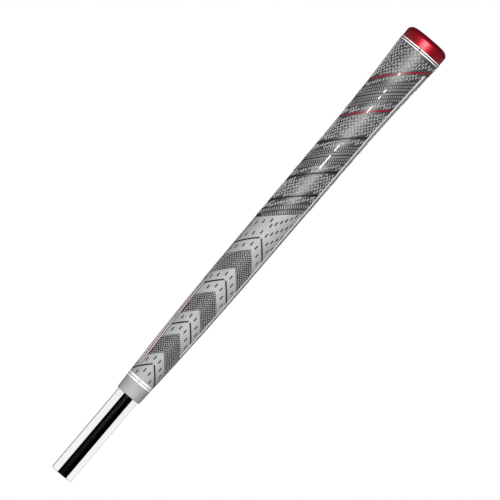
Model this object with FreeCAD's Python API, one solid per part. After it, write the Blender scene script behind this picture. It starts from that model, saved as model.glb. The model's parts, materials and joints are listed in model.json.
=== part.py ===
"""Golf grip on the butt end of a steel club shaft, millimetres.

Frame: +Z runs along the shaft towards the butt cap and the origin is the centre of the shaft's lower end.
The front, where the chevrons point up and the centre dashes run, faces -Y.  The grip is a rubber core
sleeve with a thin skin of moulded and inlaid pieces around it, closed by a butt cap.
"""
import FreeCAD, Part
import math
import os

# Shaft and tape
shaft_exposed = 60.0          # shaft below the grip's mouth
shaft_radius = 7.1            # below the last step of the butt section
shaft_butt_radius = 7.365     # butt section inside the grip
shaft_wall = 0.6
shaft_step_length = 1.5       # the step starts at the mouth and lies inside the grip
tape_thickness = 0.12
tape_end_margin = 3.0         # bare steel at each end of the tape

# Clearances
slide_clearance = 0.05        # tape to bore, all round
butt_gap = 0.4                # shaft end to the closed end of the bore

# Outer shape of the grip, heights above its mouth
grip_length = 270.6
mouth_wall = 0.515            # rubber around the bore at the open end
mouth_rounding = 0.35
waist_low_height = 96.0
waist_low_radius = 10.8
waist_high_height = 190.0
waist_high_radius = 11.38
butt_radius = 14.1            # at the cap's seat
skin_depth = 0.7              # thickness of the outer layer
inlay_depth = 0.3             # stripes and dashes
line_depth = 0.5              # black chevron lines, which pass under the stripes

# Butt cap and the rings below it
cap_height = 8.2
cap_radius = 13.9
cap_crown_radius = 9.3        # flat part of the end face
cap_shoulder = 3.4            # height of the rounded shoulder
cap_end_wall = 3.0
vent_radius = 1.0
spigot_wall = 2.2             # the core stands up inside the cap by this wall
spigot_height = 3.2
cap_ring_height = 0.65
cap_ring_gap = 0.7
ring_break = 0.7              # every white ring is open by this much on the front centre line

# Mouth collar and its rings
collar_height = 9.2
mouth_ring_height = 1.1
mouth_ring_gap = 0.65

# Slanting bands of the upper half.  Their edges lie in tilted planes, and a height is measured above the
# mouth where the plane meets the front of the waist.
wrap_slope = 1.0              # rise per millimetre towards +X
wrap_dip = 0.17               # fall per millimetre towards the back
strip_width = 5.9
seam_width = 0.9
# Each set: upper line and its height, lower line and its height, width of both lines
wrap_sets = [("red_line_upper", 243.2, "red_line_lower", 214.7, 1.5),
             ("black_line_upper", 194.4, "black_line_lower", 168.2, 1.1)]
last_line_height = 150.9
last_line_width = 1.1
wrap_end_height = 136.5       # where the lower half begins
wrap_end_slope = 0.95

# White dashes on the front centre line: height of the centre above the mouth, length
dash_width = 0.65
dashes = [(243.2, 1.6), (230.4, 2.4), (225.6, 2.2), (217.2, 3.4), (214.7, 1.0), (187.4, 4.9), (176.9, 10.0)]

# Chevrons of the lower half, in tilted planes as well
chevron_count = 3
chevron_pitch = 31.7
chevron_first_tip = 110.5     # tip of the highest patch above the mouth
chevron_height = 14.2
chevron_slope = 0.93          # fall of an arm per millimetre away from the centre line
chevron_dip = 0.36            # fall per millimetre towards the side
side_gap = 1.2                # a chevron stops this far before the plane between front and back
line_above_tip = 9.1          # middle of the black line above the tip of each patch
line_height = 1.3
line_start = 0.5              # the two arms of a line leave this much free at the centre line

# Long stripes at the sides: lower and upper end, azimuth from the front there and span, in degrees
side_stripes = {
    "side_stripe_right_white_inner": (36.0, 252.0, (65.5, 61.5), 9.0),
    "side_stripe_right_red": (36.0, 252.0, (73.5, 69.5), 7.0),
    "side_stripe_right_white_outer": (36.0, 252.0, (81.0, 77.0), 8.0),
    "side_stripe_left_red_inner": (19.0, 80.0, (-44.0, -54.0), 4.0),
    "side_stripe_left_white_inner": (19.0, 80.0, (-48.5, -58.5), 5.0),
    "side_stripe_left_red_outer": (19.0, 80.0, (-54.5, -64.5), 7.0),
    "side_stripe_left_white_outer": (19.0, 80.0, (-64.0, -74.0), 12.0),
}

# Worked out
mouth = shaft_exposed
cap_seat = mouth + grip_length - cap_height
bore_radius = shaft_butt_radius + tape_thickness + slide_clearance
mouth_radius = bore_radius + mouth_wall
bore_end = mouth + grip_length - cap_end_wall
shaft_end = bore_end - butt_gap
cap_rings_bottom = cap_seat - 2 * cap_ring_height - cap_ring_gap
collar_top = mouth + collar_height
mouth_rings_top = collar_top + 2 * mouth_ring_height + mouth_ring_gap
spigot_radius = bore_radius + spigot_wall
tool_reach = 2 * butt_radius
smallest_solid = 0.001        # cubic millimetres
front_angle = -90.0           # direction of the front in the XY plane
above_grip = grip_length + tool_reach
below_grip = -tool_reach


def write(name, shape):
    """Save one sub-part as a STEP file, without the empty leftovers of a cut."""
    solids = [solid for solid in shape.Solids if solid.Volume > smallest_solid]
    clean = solids[0] if len(solids) == 1 else Part.makeCompound(solids)
    clean.exportStep("parts/" + name + ".step")
    print(name, len(solids), round(clean.Volume, 2), clean.isValid())


def point(radius, height):
    """A point of a half section in the XZ plane."""
    return FreeCAD.Vector(radius, 0, height)


def revolve(edges):
    """Turn a closed half section around the axis into a solid."""
    face = Part.Face(Part.Wire(Part.__sortEdges__(edges)))
    return face.revolve(FreeCAD.Vector(0, 0, 0), FreeCAD.Vector(0, 0, 1), 360)


def polygon(points):
    """Edges of a closed polygon."""
    pairs = zip(points, points[1:] + points[:1])
    return [Part.makeLine(start, end) for start, end in pairs]


def tube(inner, outer, bottom, top):
    """A plain tube about the axis."""
    return revolve(polygon([
        point(inner, bottom), point(outer, bottom), point(outer, top), point(inner, top),
    ]))


def tangent_arc(start, direction, end):
    """Arc that leaves start along direction and reaches end."""
    chord = end.sub(start)
    heading = FreeCAD.Vector(direction).normalize()
    half_turn = heading.getAngle(chord)
    chord_length = chord.Length
    sagitta = chord_length / 2 * math.tan(half_turn / 2)
    side = heading.sub(FreeCAD.Vector(chord).normalize().multiply(math.cos(half_turn))).normalize()
    middle = start.add(end).multiply(0.5).add(side.multiply(sagitta))
    return Part.Arc(start, middle, end).toShape()


def grip_outline(inset):
    """Open outline of the grip's outer surface, moved inwards by inset, from the mouth to the cap's seat."""
    low = point(waist_low_radius - inset, mouth + waist_low_height)
    high = point(waist_high_radius - inset, mouth + waist_high_height)
    waist = high.sub(low)
    lower = tangent_arc(low, waist.multiply(-1), point(mouth_radius - inset, mouth))
    waist = high.sub(low)
    upper = tangent_arc(high, waist, point(butt_radius - inset, cap_seat))
    return [lower, Part.makeLine(low, high), upper]


def solid_inside(inset):
    """Everything inside the grip's outline at inset, down to the axis."""
    ends = [
        Part.makeLine(point(0, mouth), point(mouth_radius - inset, mouth)),
        Part.makeLine(point(butt_radius - inset, cap_seat), point(0, cap_seat)),
        Part.makeLine(point(0, cap_seat), point(0, mouth)),
    ]
    return revolve(grip_outline(inset) + ends)


def slab(bottom, top):
    """A wide disc that cuts the grip between two heights."""
    return Part.makeCylinder(tool_reach, top - bottom, FreeCAD.Vector(0, 0, bottom))


def skin(bottom, top, depth):
    """The outer layer of the grip between two heights."""
    return solid_inside(0).cut(solid_inside(depth)).common(slab(bottom, top))


def tilted_prism(outline, dip, start, end):
    """Prism from y = start to y = end whose outline, given at the front of the waist, falls by dip with y."""
    fall = dip * (start + waist_low_radius)
    corners = [FreeCAD.Vector(x, start, mouth + height - fall) for x, height in outline]
    face = Part.Face(Part.makePolygon(corners + corners[:1]))
    return face.extrude(FreeCAD.Vector(0, end - start, dip * (start - end)))


def tilted_band(top, bottom, slope, dip):
    """Everything between two parallel tilted planes that cross the front centre line at these heights."""
    rise = slope * tool_reach
    outline = [(-tool_reach, bottom - rise), (tool_reach, bottom + rise),
               (tool_reach, top + rise), (-tool_reach, top - rise)]
    return tilted_prism(outline, dip, -tool_reach, tool_reach)


def mirrored(shape, axis):
    """Mirror image in the plane through the origin across axis."""
    return shape.mirror(FreeCAD.Vector(0, 0, 0), axis)


def chevron_arm(tip, height, start):
    """Right arm of a front chevron, from start off the centre line out to the side."""
    outline = [(start, tip - chevron_slope * start), (tool_reach, tip - chevron_slope * tool_reach),
               (tool_reach, tip - chevron_slope * tool_reach - height),
               (start, tip - chevron_slope * start - height)]
    return tilted_prism(outline, chevron_dip, -tool_reach, -side_gap)


def stripe_tool(bottom, top, azimuths, span):
    """Wedge that twists between two azimuths, given from the front towards +X."""
    wires = []
    for height, azimuth in zip((mouth + bottom, mouth + top), azimuths):
        corners = []
        for edge in (-span / 2, span / 2):
            angle = math.radians(front_angle + azimuth + edge)
            for radius in (bore_radius / 2, tool_reach):
                corners.append(FreeCAD.Vector(radius * math.cos(angle), radius * math.sin(angle), height))
        corners = [corners[0], corners[1], corners[3], corners[2]]
        wires.append(Part.makePolygon(corners + corners[:1]))
    return Part.makeLoft(wires, True, True)


def build_shaft():
    """Steel tube with one step, hidden just inside the grip's mouth."""
    step_end = mouth + shaft_step_length
    bore = shaft_radius - shaft_wall
    butt_bore = shaft_butt_radius - shaft_wall
    return revolve(polygon([
        point(bore, 0), point(shaft_radius, 0), point(shaft_radius, mouth),
        point(shaft_butt_radius, step_end), point(shaft_butt_radius, shaft_end),
        point(butt_bore, shaft_end), point(butt_bore, step_end), point(bore, mouth),
    ]))


def build_tape():
    """Double-sided tape around the butt section."""
    bottom = mouth + shaft_step_length + tape_end_margin
    return tube(shaft_butt_radius, shaft_butt_radius + tape_thickness, bottom, shaft_end - tape_end_margin)


def build_core():
    """Rubber sleeve under the skin, with the spigot that carries the cap."""
    body = solid_inside(skin_depth).common(slab(collar_top, cap_seat))
    spigot = Part.makeCylinder(spigot_radius, spigot_height, FreeCAD.Vector(0, 0, cap_seat))
    bore = Part.makeCylinder(bore_radius, bore_end, FreeCAD.Vector(0, 0, 0))
    return body.fuse(spigot).removeSplitter().cut(bore)


def build_cap():
    """Butt cap with a rounded shoulder, a socket for the spigot and a vent hole in its end wall."""
    top = mouth + grip_length
    shoulder = top - cap_shoulder
    bulge = math.sqrt(0.5)
    middle_radius = cap_crown_radius + (cap_radius - cap_crown_radius) * bulge
    middle = point(middle_radius, shoulder + cap_shoulder * bulge)
    side = Part.makeLine(point(cap_radius, cap_seat), point(cap_radius, shoulder))
    curve = Part.Arc(point(cap_radius, shoulder), middle, point(cap_crown_radius, top)).toShape()
    rest = [
        point(cap_crown_radius, top), point(vent_radius, top), point(vent_radius, bore_end),
        point(bore_radius, bore_end), point(bore_radius, cap_seat + spigot_height),
        point(spigot_radius, cap_seat + spigot_height), point(spigot_radius, cap_seat),
        point(cap_radius, cap_seat),
    ]
    inner = [Part.makeLine(start, end) for start, end in zip(rest, rest[1:])]
    return revolve([side, curve] + inner)


def build_collar():
    """Plain collar that closes the grip at its mouth, full wall, rounded at the open end."""
    collar = solid_inside(0).common(slab(mouth, collar_top))
    rim = [edge for edge in collar.Edges if abs(edge.BoundBox.ZMax - mouth) < mouth_rounding / 10
           and edge.BoundBox.XMax > bore_radius]
    rounded = collar.makeFillet(mouth_rounding, rim)
    return rounded.cut(Part.makeCylinder(bore_radius, collar_top))


def build_rings(prefix, bottom, ring_height, gap):
    """Two white rings, open in front, and the dark ring between them, which fills the openings too."""
    top = bottom + 2 * ring_height + gap
    corner = FreeCAD.Vector(-ring_break / 2, -tool_reach, bottom)
    opening = Part.makeBox(ring_break, tool_reach, top - bottom, corner)
    lower = skin(bottom, bottom + ring_height, skin_depth).cut(opening)
    upper = skin(top - ring_height, top, skin_depth).cut(opening)
    return {
        prefix + "_ring_lower": lower,
        prefix + "_ring_spacer": skin(bottom, top, skin_depth).cut([lower, upper]),
        prefix + "_ring_upper": upper,
    }


def build_stripes(layer):
    """Long inlaid stripes at the two sides, cut from the shallow layer."""
    return {name: layer.common(stripe_tool(*stripe)) for name, stripe in side_stripes.items()}


def build_dashes(layer):
    """White dashes on the front centre line."""
    boxes = []
    for height, length in dashes:
        corner = FreeCAD.Vector(-dash_width / 2, -tool_reach, mouth + height - length / 2)
        boxes.append(Part.makeBox(dash_width, tool_reach, length, corner))
    return layer.common(Part.makeCompound(boxes))


def wrap_layout():
    """Name and lower edge of every band of the upper half, from the cap down."""
    layout = []
    for number, (upper_name, upper, lower_name, lower, width) in enumerate(wrap_sets, 1):
        half = width / 2
        seam = (upper + lower) / 2
        layout += [
            ("cord_panel_%d" % number, upper + half),
            (upper_name, upper - half),
            ("cord_strip_%d" % (2 * number - 1), upper - half - strip_width),
            ("ribbed_band_%d" % (2 * number - 1), seam + seam_width / 2),
            ("wrap_seam_%d" % number, seam - seam_width / 2),
            ("ribbed_band_%d" % (2 * number), lower + half + strip_width),
            ("cord_strip_%d" % (2 * number), lower + half),
            (lower_name, lower - half),
        ]
    count = len(wrap_sets)
    half = last_line_width / 2
    return layout + [
        ("cord_panel_%d" % (count + 1), last_line_height + half),
        ("black_line_last", last_line_height - half),
        ("cord_strip_%d" % (2 * count + 1), last_line_height - half - strip_width),
        ("ribbed_band_%d" % (2 * count + 1), below_grip),
    ]


def build_wrap(layer, inlays):
    """Slanting cord, ribbed bands and lines of the upper half, without what is inlaid in them."""
    pieces = {}
    top = above_grip
    for name, bottom in wrap_layout():
        pieces[name] = layer.common(tilted_band(top, bottom, wrap_slope, wrap_dip)).cut(inlays)
        top = bottom
    return pieces


def build_chevrons():
    """Cutting shapes of the textured patches and of the fine lines between them."""
    left, back = FreeCAD.Vector(1, 0, 0), FreeCAD.Vector(0, 1, 0)
    patches = {}
    lines = {}
    for index in range(chevron_count):
        right = chevron_arm(chevron_first_tip - index * chevron_pitch, chevron_height, 0)
        front = right.fuse(mirrored(right, left)).removeSplitter()
        patches["chevron_front_%d" % (index + 1)] = front
        patches["chevron_back_%d" % (index + 1)] = mirrored(front, back)
    for index in range(chevron_count + 1):
        middle = chevron_first_tip + line_above_tip - index * chevron_pitch
        right = chevron_arm(middle + line_height / 2, line_height, line_start)
        front = [right, mirrored(right, left)]
        arms = front + [mirrored(arm, back) for arm in front]
        lines["chevron_line_%d" % (index + 1)] = Part.makeCompound(arms)
    return patches, lines


def main():
    """Build every sub-part and save it."""
    os.makedirs("parts", exist_ok=True)
    parts = {
        "shaft_tube": build_shaft(),
        "grip_tape": build_tape(),
        "core_sleeve": build_core(),
        "end_cap": build_cap(),
        "mouth_collar": build_collar(),
    }
    parts.update(build_rings("cap", cap_rings_bottom, cap_ring_height, cap_ring_gap))
    parts.update(build_rings("mouth", collar_top, mouth_ring_height, mouth_ring_gap))

    whole = skin(mouth_rings_top, cap_rings_bottom, skin_depth)
    shallow = skin(mouth_rings_top, cap_rings_bottom, inlay_depth)
    inlays = build_stripes(shallow)
    inlays["centre_dashes"] = build_dashes(shallow)
    parts.update(inlays)
    inlaid = list(inlays.values())
    below = tilted_band(wrap_end_height, below_grip, wrap_end_slope, 0)
    parts.update(build_wrap(whole.cut(below), inlaid))

    patches, lines = build_chevrons()
    fine = skin(mouth_rings_top, cap_rings_bottom, line_depth)
    chevrons = {name: whole.common(tool).cut(inlaid) for name, tool in patches.items()}
    chevrons.update({name: fine.common(tool).cut(inlaid) for name, tool in lines.items()})
    parts.update(chevrons)
    parts["lower_sleeve"] = whole.common(below).cut(inlaid + list(chevrons.values()))

    for name, shape in parts.items():
        write(name, shape)


main()
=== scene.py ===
"""Golf grip on a steel shaft end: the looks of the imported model, in metres.

The finishes come first, then one class for each sub-assembly, then the studio.  +Z runs up the shaft to
the butt cap and the front of the grip faces -Y.  Angles around the grip are measured from the front
towards +X, and heights from the mouth.
"""
import json
import logging
import math
import random
from dataclasses import dataclass, field
from enum import Enum
from typing import Any, Iterable

import bpy
import numpy as np
from bpy.types import Material, Node, NodeSocket, NodeTree, Object
from mathutils import Matrix, Vector


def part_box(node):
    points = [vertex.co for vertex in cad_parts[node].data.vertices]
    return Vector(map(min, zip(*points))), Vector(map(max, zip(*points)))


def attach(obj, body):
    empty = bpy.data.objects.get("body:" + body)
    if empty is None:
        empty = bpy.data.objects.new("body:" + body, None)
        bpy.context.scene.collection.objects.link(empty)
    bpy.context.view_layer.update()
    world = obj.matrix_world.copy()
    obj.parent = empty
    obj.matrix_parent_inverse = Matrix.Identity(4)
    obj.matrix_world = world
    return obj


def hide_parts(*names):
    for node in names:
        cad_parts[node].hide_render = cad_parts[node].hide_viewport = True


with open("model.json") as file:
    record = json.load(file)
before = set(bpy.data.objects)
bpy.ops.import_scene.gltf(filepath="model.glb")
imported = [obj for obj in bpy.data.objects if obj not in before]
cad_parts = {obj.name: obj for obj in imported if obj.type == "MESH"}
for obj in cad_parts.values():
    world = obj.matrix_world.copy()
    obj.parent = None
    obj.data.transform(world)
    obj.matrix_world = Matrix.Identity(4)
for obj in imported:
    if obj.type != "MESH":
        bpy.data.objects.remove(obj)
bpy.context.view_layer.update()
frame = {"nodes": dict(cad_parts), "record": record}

MM = 0.001
FACING_SKIN = 0.85            # how squarely a face must look outwards to belong to the outer surface
CORNER_SHARE = 0.42           # rounding of a stamp's ends, as a share of its width
WRAP_SLOPE = 1.0              # rise of the slanting bands towards +X
WRAP_DIP = 0.17               # their rise towards the front
WAIST_RADIUS = 10.8 * MM
BORE_RADIUS = 7.535 * MM
LINE_PAIRS = ((243.2 * MM, 214.7 * MM), (194.4 * MM, 168.2 * MM))   # front heights of the paired lines
GRIP_BODY = "grip"
SHAFT_BODY = "shaft"
log = logging.getLogger("grip")


# ---------------------------------------------------------------- small helpers


def linear(colour: str) -> tuple[float, float, float, float]:
    """Turn an sRGB hex colour into linear RGBA.

    Args:
        colour: six hex digits, such as "B4B4B6".

    Returns:
        The linear red, green and blue, and an alpha of 1.
    """
    def channel(text: str) -> float:
        """Linear value of one channel's two hex digits."""
        value = int(text, 16) / 255
        return value / 12.92 if value <= 0.04045 else ((value + 0.055) / 1.055) ** 2.4

    return (channel(colour[0:2]), channel(colour[2:4]), channel(colour[4:6]), 1.0)


def add_node(tree: NodeTree, kind: str, inputs: dict[Any, Any] | None = None,
             **settings: Any) -> Node:
    """Add a node with its settings, and set or link its inputs.

    Args:
        tree: the node tree that gets the node.
        kind: the node's type, without "ShaderNode".
        inputs: input name or number, to a value, an output socket or a node whose first output is used.
        settings: properties of the node itself.

    Returns:
        The new node.
    """
    node = tree.nodes.new("ShaderNode" + kind)
    for name, value in settings.items():
        setattr(node, name, value)
    plug(tree, node, inputs or {})
    return node


def plug(tree: NodeTree, node: Node, inputs: dict[Any, Any]) -> None:
    """Set a node's inputs, or link those that are given an output socket or another node.

    Args:
        tree: the node tree that holds the node.
        node: the node.
        inputs: input name or number, to a value, an output socket or a node whose first output is used.
    """
    for key, value in inputs.items():
        if isinstance(value, (Node, NodeSocket)):
            source = value.outputs[0] if isinstance(value, Node) else value
            tree.links.new(source, node.inputs[key])
        else:
            node.inputs[key].default_value = value


def new_material(name: str) -> tuple[Material, NodeTree, Node]:
    """Start a material with a Principled shader.

    Args:
        name: the material's name.

    Returns:
        The material, its node tree and its Principled shader.
    """
    material = bpy.data.materials.new(name)
    material.use_nodes = True
    tree = material.node_tree
    return material, tree, tree.nodes["Principled BSDF"]


def unrolled(tree: NodeTree, radius: float) -> Node:
    """Coordinates of the grip's surface as if it were cut open behind and laid flat.

    Args:
        tree: the node tree that needs them.
        radius: radius that turns the angle into a length, in metres.

    Returns:
        A node with one vector output: length around, height and distance from the axis, in metres.
    """
    place = add_node(tree, "TexCoord").outputs["Object"]
    split = add_node(tree, "SeparateXYZ", {0: place})
    front = add_node(tree, "Math", {0: split.outputs["Y"], 1: -1.0}, operation="MULTIPLY")
    angle = add_node(tree, "Math", {0: split.outputs["X"], 1: front}, operation="ARCTAN2")
    around = add_node(tree, "Math", {0: angle, 1: radius}, operation="MULTIPLY")
    flat = add_node(tree, "CombineXYZ", {"X": split.outputs["X"], "Y": split.outputs["Y"]})
    out = add_node(tree, "VectorMath", {0: flat}, operation="LENGTH")
    return add_node(tree, "CombineXYZ", {
        "X": around, "Y": split.outputs["Z"], "Z": out.outputs["Value"]})


def select_only(piece: Object) -> None:
    """Make one object the selected and active one."""
    bpy.ops.object.select_all(action="DESELECT")
    piece.select_set(True)
    bpy.context.view_layer.objects.active = piece


def smooth(piece: Object, angle: float = 35.0) -> None:
    """Shade a piece smooth except across edges sharper than angle, in degrees."""
    select_only(piece)
    bpy.ops.object.shade_smooth_by_angle(angle=math.radians(angle))


def surface_normals(piece: Object, surface: "GripSurface", count: int | None = None) -> None:
    """Shade the outer faces of a piece of the skin as the true surface of revolution.

    Args:
        piece: the piece, already shaded smooth by angle.
        surface: the surface of revolution.
        count: how many of its first faces belong to the skin, or None for all of them.
    """
    mesh = piece.data
    normals = [corner.vector.copy() for corner in mesh.corner_normals]
    for face in mesh.polygons[:count]:
        flat = Vector((face.center.x, face.center.y, 0)).normalized()
        facing = face.normal.dot(flat)
        for loop in face.loop_indices:
            place = mesh.vertices[mesh.loops[loop].vertex_index].co
            if facing > FACING_SKIN:
                normals[loop] = surface.normal(place)
            elif facing < -FACING_SKIN:
                normals[loop] = -surface.normal(place)
            else:
                normals[loop] = face.normal.copy()
    mesh.normals_split_custom_set(normals)


def finish_piece(piece: Object, body: str, materials: Iterable[Material],
                 nodes: Iterable[str]) -> None:
    """Dress a finished piece and tie it to the frame.

    Args:
        piece: the finished object.
        body: the CAD body that it moves with.
        materials: its materials, in the order of its mesh's material numbers.
        nodes: the CAD nodes that it stands for.
    """
    numbers = [face.material_index for face in piece.data.polygons]
    piece.data.materials.clear()
    for material in materials:
        piece.data.materials.append(material)
    piece.data.polygons.foreach_set("material_index", numbers)
    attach(piece, body)
    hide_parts(*nodes)
    log.info("%s: %d faces", piece.name, len(piece.data.polygons))


def lathe(name: str, outline: list[tuple[float, float]], steps: int = 128) -> Object:
    """Spin a closed outline around the axis.

    Args:
        name: the new object's name.
        outline: radius and height of each corner, in metres, in order round the wall's section.
        steps: number of steps in the full turn.

    Returns:
        The new closed ring or tube.
    """
    bpy.ops.object.select_all(action="DESELECT")
    bpy.ops.mesh.primitive_circle_add(vertices=len(outline), radius=1.0, fill_type="NOTHING")
    piece = bpy.context.object
    piece.name = piece.data.name = name
    for vertex, (radius, height) in zip(piece.data.vertices, outline):
        vertex.co = (0.0, -radius, height)
    bpy.ops.object.mode_set(mode="EDIT")
    bpy.ops.mesh.select_all(action="SELECT")
    bpy.ops.mesh.spin(steps=steps, angle=2 * math.pi, center=(0, 0, 0), axis=(0, 0, 1))
    bpy.ops.mesh.select_all(action="SELECT")
    bpy.ops.mesh.remove_doubles(threshold=1e-6)
    bpy.ops.mesh.normals_make_consistent(inside=False)
    bpy.ops.object.mode_set(mode="OBJECT")
    return piece


def corner_arc(centre: tuple[float, float], radii: tuple[float, float], start: float, end: float,
               count: int) -> list[tuple[float, float]]:
    """Points of a rounded corner in the lathe's outline.

    Args:
        centre: radius and height of the arc's centre.
        radii: the arc's two half axes, across and along the shaft.
        start: angle of the first point in degrees, from outwards towards the cap.
        end: angle of the last point in degrees.
        count: number of points.

    Returns:
        The points in order.
    """
    angles = [math.radians(start + (end - start) * step / (count - 1)) for step in range(count)]
    return [(centre[0] + radii[0] * math.cos(a), centre[1] + radii[1] * math.sin(a)) for a in angles]


def copy_of_node(node: str, name: str) -> Object:
    """Copy a CAD node's mesh into a new piece with its loose triangles joined.

    Args:
        node: the CAD node.
        name: the new object's name.

    Returns:
        The new object.
    """
    source = frame["nodes"][node]
    piece = bpy.data.objects.new(name, source.data.copy())
    piece.data.name = name
    bpy.context.collection.objects.link(piece)
    select_only(piece)
    bpy.ops.object.mode_set(mode="EDIT")
    bpy.ops.mesh.select_all(action="SELECT")
    bpy.ops.mesh.remove_doubles(threshold=2e-6)
    bpy.ops.object.mode_set(mode="OBJECT")
    return piece


# ---------------------------------------------------------------- finishes


@dataclass(frozen=True)
class MouldedRubber:
    """Compression-moulded rubber: matt, with the fine grain of a blasted mould and faint flow marks."""

    name: str
    colour: str
    roughness: float = 0.55
    specular: float = 0.5
    ior: float = 1.52
    grain_size: float = 0.28 * MM
    grain_depth: float = 0.018 * MM
    tone_share: float = 0.07
    tone_size: float = 9 * MM
    roughness_share: float = 0.06

    def build(self) -> Material:
        """Make the material.

        Returns:
            The rubber material.
        """
        material, tree, shader = new_material(self.name)
        place = add_node(tree, "TexCoord").outputs["Object"]
        cloud = add_node(tree, "TexNoise", {"Vector": place, "Scale": 1 / self.tone_size, "Detail": 3.0})
        grain = add_node(tree, "TexNoise", {"Vector": place, "Scale": 1 / self.grain_size, "Detail": 2.0})
        tone = add_node(tree, "MapRange", {
            "Value": cloud.outputs["Fac"], "From Min": 0.3, "From Max": 0.7,
            "To Min": 1 - self.tone_share, "To Max": 1 + self.tone_share})
        tint = add_node(tree, "VectorMath", {0: linear(self.colour)[:3], 1: tone},
                        operation="MULTIPLY")
        rough = add_node(tree, "MapRange", {
            "Value": grain.outputs["Fac"], "To Min": self.roughness - self.roughness_share,
            "To Max": self.roughness + self.roughness_share})
        bump = add_node(tree, "Bump", {
            "Height": grain.outputs["Fac"], "Distance": self.grain_depth, "Strength": 1.0})
        plug(tree, shader, {
            "Base Color": tint, "Roughness": rough, "Normal": bump,
            "Specular IOR Level": self.specular, "IOR": self.ior})
        return material


@dataclass(frozen=True)
class RibbedBase:
    """Moulded rubber between ribs: black in the gaps, the band's dark rubber deepened as painted shade, and
    on the land beside a seam the ribs' pale grey as a painted highlight.
    """

    name: str
    mouth: float
    # gaps between the ribs: the band's dark rubber, darkened to black as painted shade
    colour: str = "1E1E20"
    # land beside a seam: pale grey like the rib tops, a painted highlight
    land_highlight_colour: str = "6A6A6D"
    roughness: float = 0.55
    land: float = 2.2 * MM
    grain_size: float = 0.28 * MM
    grain_depth: float = 0.018 * MM

    def build(self) -> Material:
        """Make the material.

        Returns:
            The rubber material.
        """
        material, tree, shader = new_material(self.name)
        place = add_node(tree, "TexCoord").outputs["Object"]
        lean = add_node(tree, "VectorMath", {0: place, 1: (-WRAP_SLOPE, WRAP_DIP, 1.0)},
                        operation="DOT_PRODUCT")
        shift = WRAP_DIP * WAIST_RADIUS - self.mouth
        height = add_node(tree, "Math", {0: lean.outputs["Value"], 1: shift}, operation="ADD")
        offsets = []
        for upper, lower in LINE_PAIRS:
            away = add_node(tree, "Math", {0: height, 1: (upper + lower) / 2},
                            operation="SUBTRACT")
            offsets.append(add_node(tree, "Math", {0: away}, operation="ABSOLUTE"))
        nearest = add_node(tree, "Math", {0: offsets[0], 1: offsets[1]},
                           operation="MINIMUM")
        # mask of the land, which gets the painted highlight colour
        land_highlight_mask = add_node(tree, "Math", {0: nearest, 1: self.land}, operation="LESS_THAN")
        tint = add_node(tree, "Mix", {
            "Factor": land_highlight_mask, 6: linear(self.colour), 7: linear(self.land_highlight_colour)},
            data_type="RGBA")
        grain = add_node(tree, "TexNoise", {"Vector": place, "Scale": 1 / self.grain_size, "Detail": 2.0})
        bump = add_node(tree, "Bump", {
            "Height": grain.outputs["Fac"], "Distance": self.grain_depth, "Strength": 1.0})
        plug(tree, shader, {
            "Base Color": tint.outputs[2], "Normal": bump, "Roughness": self.roughness})
        return material


@dataclass(frozen=True)
class CordedRubber:
    """Rubber calendered onto woven cotton cord: dark, with a fine cross weave that shows through."""

    name: str
    colour: str = "262629"
    thread_colour: str = "505053"
    roughness: float = 0.5
    specular: float = 0.9
    ior: float = 1.6
    thread_across: float = 0.7 * MM
    thread_along: float = 2.4 * MM
    weave_depth: float = 0.05 * MM
    surface_radius: float = 11.5 * MM
    wear_size: float = 5 * MM

    def build(self) -> Material:
        """Make the material.

        Returns:
            The corded rubber material.
        """
        material, tree, shader = new_material(self.name)
        flat = unrolled(tree, self.surface_radius)
        scale = (1 / self.thread_across, 1 / self.thread_along, 1 / self.thread_along)
        stretched = add_node(tree, "VectorMath", {0: flat, 1: scale}, operation="MULTIPLY")
        cells = add_node(tree, "TexVoronoi", {
            "Vector": stretched, "Scale": 1.0, "Randomness": 0.55}, voronoi_dimensions="2D")
        knot = add_node(tree, "MapRange", {
            "Value": cells.outputs["Distance"], "From Min": 0.15, "From Max": 0.55,
            "To Min": 1.0, "To Max": 0.0}, interpolation_type="SMOOTHSTEP")
        wear = add_node(tree, "TexNoise", {"Vector": flat, "Scale": 1 / self.wear_size, "Detail": 3.0})
        shown = add_node(tree, "Math", {0: knot, 1: wear.outputs["Fac"]}, operation="MULTIPLY")
        tint = add_node(tree, "Mix", {
            "Factor": shown, 6: linear(self.colour), 7: linear(self.thread_colour)},
            data_type="RGBA")
        bump = add_node(tree, "Bump", {
            "Height": knot, "Distance": self.weave_depth, "Strength": 1.0})
        plug(tree, shader, {
            "Base Color": tint.outputs[2], "Normal": bump, "Roughness": self.roughness,
            "Specular IOR Level": self.specular, "IOR": self.ior})
        return material


@dataclass(frozen=True)
class CottonThread:
    """Undyed cotton cord worn proud of the rubber: pale, fuzzy and quite matt."""

    name: str = "cotton cord, woven"
    colour: str = "CDCDCE"
    dark_colour: str = "9A9A9C"
    roughness: float = 0.8
    fray_size: float = 1.1 * MM
    fibre_size: float = 0.12 * MM
    fibre_depth: float = 0.02 * MM

    def build(self) -> Material:
        """Make the material.

        Returns:
            The cotton material.
        """
        material, tree, shader = new_material(self.name)
        place = add_node(tree, "TexCoord").outputs["Object"]
        fray = add_node(tree, "TexNoise", {"Vector": place, "Scale": 1 / self.fray_size, "Detail": 4.0})
        tint = add_node(tree, "Mix", {
            "Factor": fray.outputs["Fac"], 6: linear(self.dark_colour), 7: linear(self.colour)},
            data_type="RGBA")
        fibre = add_node(tree, "TexNoise", {"Vector": place, "Scale": 1 / self.fibre_size, "Detail": 2.0})
        bump = add_node(tree, "Bump", {
            "Height": fibre.outputs["Fac"], "Distance": self.fibre_depth, "Strength": 1.0})
        plug(tree, shader, {
            "Base Color": tint.outputs[2], "Normal": bump, "Roughness": self.roughness})
        return material


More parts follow.
